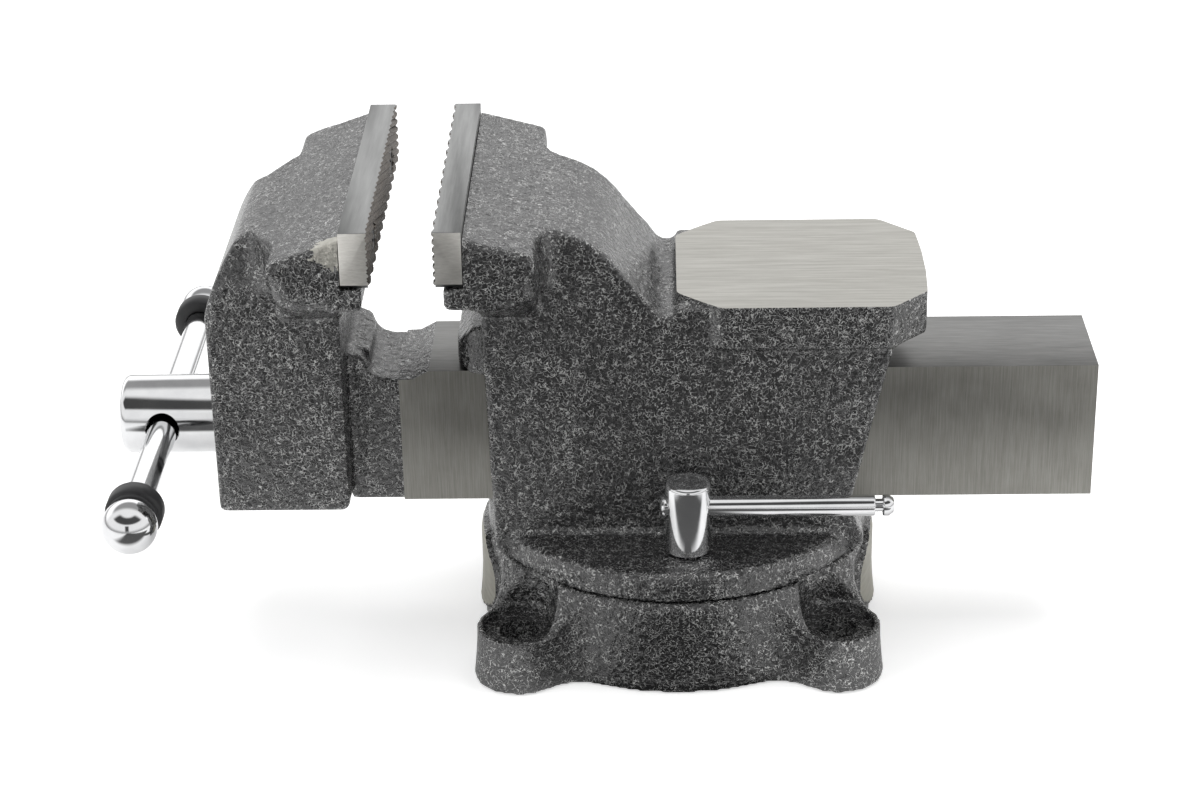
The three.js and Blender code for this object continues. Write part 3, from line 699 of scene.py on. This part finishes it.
dark_steel = milled(
    "oiled black steel", (0.13, 0.13, 0.135), (0.055, 0.055, 0.058), 0.4, (300, 300, 300),
)
for jaw_name, body_name, outward in (("rear", "body", -1), ("front", "jaw", 1)):
    low, high = box_of(f"{jaw_name}_jaw_insert")
    jaw_insert(f"{jaw_name}_jaw_insert", body_name, low.x if outward < 0 else high.x, outward)
    for hand in ("left", "right"):
        jaw_screw(f"{jaw_name}_insert_screw_{hand}", body_name, outward)

# ---------------------------------------------------------------- sliding jaw
# The front jaw with its lobe and cast neck, painted all over but for the seat
# of the insert and the bore. A chip of paint is missing beside the insert.
front_low, front_high = box_of("front_jaw_insert")
front_seat_x = front_low.x - fit
split_x, past_split = -118.4, 5
chip_at = Vector((front_seat_x - 3, -jaw_half, ledge_z + 17)) * mm
chip_reach = 7.5 * mm
bm = copy_of("sliding_jaw")
bmesh.ops.triangulate(bm, faces=bm.faces)
bmesh.ops.bisect_plane(
    bm, geom=bm.verts[:] + bm.edges[:] + bm.faces[:], dist=0.0001 * mm,
    plane_co=((split_x + past_split) * mm, 0, 0), plane_no=(1, 0, 0), clear_outer=True,
)
bmesh.ops.holes_fill(bm, edges=[edge for edge in bm.edges if edge.is_boundary])


def on_front_seat(at, normal):
    return abs(at.x - front_seat_x) < touch and at.z > ledge_z and normal.x > 0.9


allow(bm, (allowance, 0, 0), on_front_seat)
screw_low, screw_high = box_of("main_screw")
screw_z = (screw_low.z + screw_high.z) / 2
# the screw's bore is filled here and bored again after casting
plug_start, plug_end, plug_half = -190, -124, 14
add_box(bm, (plug_start, -plug_half, screw_z - plug_half), (plug_end, plug_half, screw_z + plug_half))
# the little cast lump behind the jaw, over the neck
lump_start, lump_end, lump_half, lump_foot, lump_top = -142, -131, 17, 121, 130.5
add_box(bm, (lump_start, -lump_half, lump_foot), (lump_end, lump_half, lump_top))
front_jaw = piece("front_jaw_casting", bm, hammertone(chip_at, chip_reach), planed_iron)
cast(front_jaw, 1.2, 6)
front_blend_end = -139
soften_where(front_jaw, blend_passes, lambda at: at.x < front_blend_end and under_block(at))
# the lobe draws in towards its top
lobe_start, lobe_full, squeeze_from, squeeze_height, squeeze = -167, -178, 163, 32, 0.36
for vert in front_jaw.data.vertices:
    at = vert.co / mm
    if at.z > squeeze_from and at.x < lobe_start:
        part = min((lobe_start - at.x) / (lobe_start - lobe_full), 1)
        part = part * part * (3 - 2 * part)
        rise = (at.z - squeeze_from) / squeeze_height
        vert.co.y *= 1 - squeeze * part * rise * rise
bm = bmesh.new()
add_box(
    bm, (front_seat_x, -jaw_half - past_side, ledge_z),
    (front_seat_x + past_face, jaw_half + past_side, front_high.z + past_top),
)
combine(front_jaw, bm)
# a saw cut where the neck ends and the milled bar begins
saw_half, saw_foot, saw_top, saw_width = 60, 40, 140, 20
bm = bmesh.new()
add_box(bm, (split_x, -saw_half, saw_foot), (split_x + saw_width, saw_half, saw_top))
combine(front_jaw, bm)
bore_radius, bore_start, bore_end = 12.6, -210, -110
bm = bmesh.new()
add_rod(bm, bore_radius, (bore_start, 0, screw_z), (bore_end, 0, screw_z), 48)
drill_for_screws(bm, "front", front_seat_x, 1)
combine(front_jaw, bm)


def front_face(at, normal):
    """Planed iron on the seat and in the bore; paint elsewhere."""
    seat = abs(at.x - front_seat_x) < 0.1 and at.z > ledge_z and normal.x > 0.98
    bore = abs(math.hypot(at.y, at.z - screw_z) - bore_radius) < 0.2 and abs(normal.x) < 0.3
    return 1 if seat or bore else 0


finish_faces(front_jaw, front_face)
settle(front_jaw, "jaw", "hammertone_casting", "sliding_jaw")

# ---------------------------------------------------------------- slide bar
# The same casting behind the neck: a hollow, nearly square bar milled on all sides.
# Its sides keep the upright lines of the cutter, and its top is worn smooth.
side_steel = milled(
    "milled bar side", (0.33, 0.325, 0.3), (0.23, 0.225, 0.205), 0.42, (2200, 60, 60), depth=0.04,
)
top_steel = milled(
    "worn bar top", (0.24, 0.238, 0.232), (0.16, 0.16, 0.155), 0.36, (60, 700, 60), depth=0.01,
)
bar = piece("slide_bar", copy_of("sliding_jaw"), side_steel, top_steel, paint)
# the jaw and its neck are cut away, and a hair more, so the two pieces don't touch
hair, cut_front, cut_half, cut_foot, cut_top = 0.05, -300, 120, 20, 260
bm = bmesh.new()
add_box(bm, (cut_front, -cut_half, cut_foot), (split_x + hair, cut_half, cut_top))
combine(bar, bm)
break_edges(bar, 0.6, 3)
paint_end, paint_depth = -105.6, 8


def bar_face(at, normal):
    """Paint on the last of the neck's top, worn steel behind it, milled steel elsewhere."""
    if at.x < paint_end and at.z > bar_top - paint_depth and abs(normal.y) < 0.7:
        return 2
    return 1 if normal.z > 0.5 else 0


finish_faces(bar, bar_face, 50)
settle(bar, "jaw", "machined_steel", "sliding_jaw")

# ---------------------------------------------------------------- main screw
# A turned bar with a trapezoid thread behind the jaw and a big head with a cross
# hole for the handle. The head is polished and chrome plated.


def chrome():
    made, tree, metal = new_material("chrome", 1.0, 0.09)
    haze = noise(tree, place_on(tree), 90, 4, 0.6)
    colour = ramp(tree, haze, (0.3, (0.72, 0.725, 0.735)), (0.7, (0.82, 0.822, 0.828)))
    feed(tree, metal.inputs["Base Color"], colour)
    feed(tree, metal.inputs["Roughness"], math_of(tree, "MULTIPLY_ADD", haze, 0.12, 0.03))
    scratches = noise(tree, place_on(tree, (60, 900, 900)), 1, 2)
    pits = noise(tree, place_on(tree), 260, 2)
    bumped(tree, metal, (scratches, 0.06, 0.01 * mm), (pits, 0.05, 0.03 * mm))
    return made


shiny = chrome()
thread_steel = milled(
    "greased thread", (0.2, 0.195, 0.185), (0.08, 0.078, 0.072), 0.33, (200, 200, 200),
)
head_start = screw_low.x
head_radius = screw_high.y
shoulder_x = box_of("thrust_washer")[0].x - fit
rod_low, rod_high = box_of("handle_rod")
rod_x = (rod_low.x + rod_high.x) / 2
shank_radius, root_radius, pitch = 12, 9.8, 5
thread_start, thread_end = -86, screw_high.x - 3
bm = bmesh.new()
turn(bm, [
    (0, 0), (head_radius - 3, 0), (head_radius - 1.6, 0.35), (head_radius - 0.5, 1.4), (head_radius, 3),
    (head_radius, shoulder_x - head_start - 0.5), (head_radius - 0.5, shoulder_x - head_start),
    (shank_radius, shoulder_x - head_start), (shank_radius, thread_start - head_start),
    (root_radius, thread_start + 2.2 - head_start), (root_radius, screw_high.x - 1 - head_start),
    (root_radius - 1.5, screw_high.x - head_start), (0, screw_high.x - head_start),
], (head_start, 0, screw_z), (1, 0, 0), 96)
screw = piece("screw_and_head", bm, shiny, thread_steel)
# the thread's ridge is one trapezoid, carried round and along the root
foot_half, crest_half = 1.7, 0.8
ridge_foot, ridge_crest = root_radius - 0.4, shank_radius - 0.02
ridge = [
    (-foot_half, ridge_foot), (-crest_half, ridge_crest),
    (crest_half, ridge_crest), (foot_half, ridge_foot),
]
bm = bmesh.new()
verts = [bm.verts.new(Vector((thread_start + x, 0, screw_z + r)) * mm) for x, r in ridge]
end_face = bm.faces.new(verts)
steps_per_turn = 30
turns = (thread_end - thread_start) / pitch
steps = int(turns * steps_per_turn)
bmesh.ops.spin(
    bm, geom=verts + end_face.edges[:] + [end_face], cent=(0, 0, screw_z * mm), axis=(1, 0, 0),
    angle=2 * math.pi * steps / steps_per_turn, steps=steps, dvec=(pitch / steps_per_turn * mm, 0, 0),
)
bmesh.ops.recalc_face_normals(bm, faces=bm.faces)
combine(screw, bm, "UNION")
cross_hole, cross_reach = 7.5, 30
bm = bmesh.new()
add_rod(bm, cross_hole, (rod_x, -cross_reach, screw_z), (rod_x, cross_reach, screw_z), 64)
combine(screw, bm)
pin_low, pin_high = box_of("split_pin")
pin_x = (pin_low.x + pin_high.x) / 2
pin_hole, pin_reach = 2.6, 20
bm = bmesh.new()
add_rod(bm, pin_hole, (pin_x, 0, screw_z - pin_reach), (pin_x, 0, screw_z + pin_reach), 24)
combine(screw, bm)
plated_length = 20
finish_faces(screw, lambda at, normal: 1 if at.x > shoulder_x + plated_length else 0, 32)
settle(screw, "spindle", "bright_chrome", "main_screw")

# ---------------------------------------------------------------- washers, spring and split pin
# The screw pulls the jaw back through a coil spring, which a washer and a split
# pin hold on the shank. A thrust washer takes the load of clamping.


def washer(node, body_name, bore):
    low, high = box_of(node)
    thick, radius = high.x - low.x, high.y
    bm = bmesh.new()
    turn(bm, [
        (bore, 0.3), (bore + 0.3, 0), (radius - 0.5, 0), (radius, 0.5), (radius, thick - 0.5),
        (radius - 0.5, thick), (bore + 0.3, thick), (bore, thick - 0.3), (bore, 0.3),
    ], (low.x, 0, screw_z), (1, 0, 0), 72)
    made = piece(node + "_turned", bm, dark_steel)
    finish_faces(made)
    settle(made, body_name, "dark_steel", node)


washer("thrust_washer", "jaw", shank_radius + fit)
washer("spring_washer", "spindle", shank_radius + fit)

spring_low, spring_high = box_of("spindle_spring")
wire = 1.3
coil_radius = spring_high.y - wire
coils = 4
coil_pitch = (spring_high.x - spring_low.x - 2 * wire) / coils
bm = bmesh.new()
bmesh.ops.create_circle(bm, cap_ends=True, segments=12, radius=wire * mm)
bmesh.ops.rotate(bm, verts=bm.verts, cent=(0, 0, 0), matrix=Matrix.Rotation(math.pi / 2, 3, "X"))
bmesh.ops.translate(bm, verts=bm.verts, vec=Vector((spring_low.x + wire, 0, screw_z + coil_radius)) * mm)
steps = 36 * coils
bmesh.ops.spin(
    bm, geom=bm.verts[:] + bm.edges[:] + bm.faces[:], cent=(0, 0, screw_z * mm), axis=(1, 0, 0),
    angle=2 * math.pi * coils, steps=steps, dvec=(coil_pitch * coils / steps * mm, 0, 0),
)
bmesh.ops.recalc_face_normals(bm, faces=bm.faces)
spring = piece("spring_wire", bm, dark_steel)
finish_faces(spring, None, 50)
settle(spring, "jaw", "dark_steel", "spindle_spring")

# ---------------------------------------------------------------- handle
# A plain chromed rod that slides in the cross hole. A ball is pressed on each
# end, and a rubber buffer behind it keeps fingers from being pinched.


def rubber():
    made, tree, soft = new_material("black rubber", 0.0, 0.55)
    fine = noise(tree, place_on(tree), 1200, 3)
    cloud = noise(tree, place_on(tree), 120, 3)
    colour = ramp(tree, cloud, (0.3, (0.012, 0.012, 0.013)), (0.7, (0.03, 0.03, 0.031)))
    feed(tree, soft.inputs["Base Color"], colour)
    feed(tree, soft.inputs["Roughness"], math_of(tree, "MULTIPLY_ADD", cloud, 0.2, 0.38))
    bumped(tree, soft, (fine, 0.2, 0.05 * mm))
    return made


black_rubber = rubber()
rod_z = (rod_low.z + rod_high.z) / 2
rod_radius = (rod_high.z - rod_low.z) / 2
length = rod_high.y - rod_low.y
chamfer = 0.6
bm = bmesh.new()
turn(bm, [
    (0, 0), (rod_radius - chamfer, 0), (rod_radius, chamfer), (rod_radius, length - chamfer),
    (rod_radius - chamfer, length), (0, length),
], (rod_x, rod_low.y, rod_z), (0, 1, 0), 72)
handle = piece("handle_bar", bm, shiny)
finish_faces(handle)
settle(handle, "handle", "bright_chrome", "handle_rod")

for end, outward in (("near", -1), ("far", 1)):
    low, high = box_of(f"handle_ball_{end}")
    radius = (high.z - low.z) / 2
    tip = high.y if outward > 0 else low.y
    flat = (high.y - low.y) - radius
    rear_angle = math.acos(-flat / radius)
    arc = [rear_angle * step / 30 for step in range(31)]
    profile = [(radius * math.sin(angle), radius * math.cos(angle)) for angle in arc]
    bore, bore_end = rod_radius + fit, 3
    profile += [(bore, -flat), (bore, bore_end), (0, bore_end)]
    bm = bmesh.new()
    turn(bm, profile, (rod_x, tip - outward * radius, rod_z), (0, outward, 0), 96)
    ball = piece(f"handle_knob_{end}", bm, shiny)
    finish_faces(ball)
    settle(ball, "handle", "bright_chrome", f"handle_ball_{end}")
    low, high = box_of(f"handle_bumper_{end}")
    radius, thick = (high.z - low.z) / 2, high.y - low.y
    inner = low.y if outward > 0 else high.y
    bm = bmesh.new()
    turn(bm, [
        (bore, 0.3), (bore + 0.4, 0), (radius - 2.4, 0), (radius - 0.9, 0.5), (radius, 1.7),
        (radius, thick - 3.6), (radius - 0.4, thick - 2.7), (radius - 1.5, thick - 2.2),
        (radius - 1.5, thick - 0.6), (radius - 2.1, thick), (bore, thick), (bore, 0.3),
    ], (rod_x, inner, rod_z), (0, outward, 0), 72)
    bumper = piece(f"handle_buffer_{end}", bm, black_rubber)
    finish_faces(bumper, None, 50)
    settle(bumper, "handle", "black_rubber", f"handle_bumper_{end}")

# ---------------------------------------------------------------- swivel locks
# Each lock is a tall chromed nut on a T-headed bolt, turned by a short sliding
# lever with a head at one end and a grooved tip at the other.
tapped_radius, tapped_depth, lever_hole, lever_hole_reach = 6.3, 14, 4.8, 20
for where_on, way in (("near", 1), ("far", -1)):
    low, high = box_of(f"lock_nut_{where_on}")
    middle = (low + high) / 2
    radius, tall = (high.y - low.y) / 2, high.z - low.z
    lever_low, lever_high = box_of(f"lock_lever_{where_on}")
    lever_z = (lever_low.z + lever_high.z) / 2
    bm = bmesh.new()
    turn(bm, [
        (0, 0), (radius - 0.8, 0), (radius, 0.8), (radius, tall - 2.4), (radius - 0.35, tall - 1.3),
        (radius - 1.1, tall - 0.6), (radius - 2.6, tall - 0.25), (radius * 0.5, tall - 0.08), (0, tall),
    ], (middle.x, middle.y, low.z), (0, 0, 1), 96)
    nut = piece(f"lock_nut_{where_on}_turned", bm, shiny)
    bm = bmesh.new()
    tap_end = (middle.x, middle.y, low.z + tapped_depth)
    add_rod(bm, tapped_radius, (middle.x, middle.y, low.z - 2), tap_end, 40)
    combine(nut, bm)
    bm = bmesh.new()
    drill_start = (middle.x - lever_hole_reach, middle.y, lever_z)
    add_rod(bm, lever_hole, drill_start, (middle.x + lever_hole_reach, middle.y, lever_z), 48)
    combine(nut, bm)
    finish_faces(nut, None, 32)
    settle(nut, f"lock_{where_on}", "bright_chrome", f"lock_nut_{where_on}")

    head = 2.2
    start = lever_low.x if way > 0 else lever_high.x
    reach = lever_high.x - lever_low.x
    stem, neck = 4.5, 2.7
    bm = bmesh.new()
    turn(bm, [
        (0, 0), (2.6, 0.12), (4.2, 0.6), (5.05, 1.3), (5.2, head - 0.3), (4.9, head), (stem, head),
        (stem, reach - 8.6), (stem - 0.4, reach - 8.0), (neck, reach - 7.6), (neck, reach - 4.8),
        (stem - 0.4, reach - 4.6), (stem, reach - 4.2), (stem, reach - 2.2), (neck + 0.4, reach - 0.2),
        (neck, reach), (0, reach),
    ], (start, middle.y, lever_z), (way, 0, 0), 64)
    lever = piece(f"lock_lever_{where_on}_turned", bm, shiny)
    finish_faces(lever, None, 35)
    settle(lever, f"lever_{where_on}", "bright_chrome", f"lock_lever_{where_on}")

# ---------------------------------------------------------------- hidden steel
# The spindle nut and its bolt, the split pin and the T bolts keep their plain
# shapes and get an oiled black finish.
for name in ("spindle_nut", "spindle_nut_bolt", "split_pin", "lock_bolt_near", "lock_bolt_far"):
    node = frame["nodes"][name]
    node.data.materials.clear()
    node.data.materials.append(dark_steel)
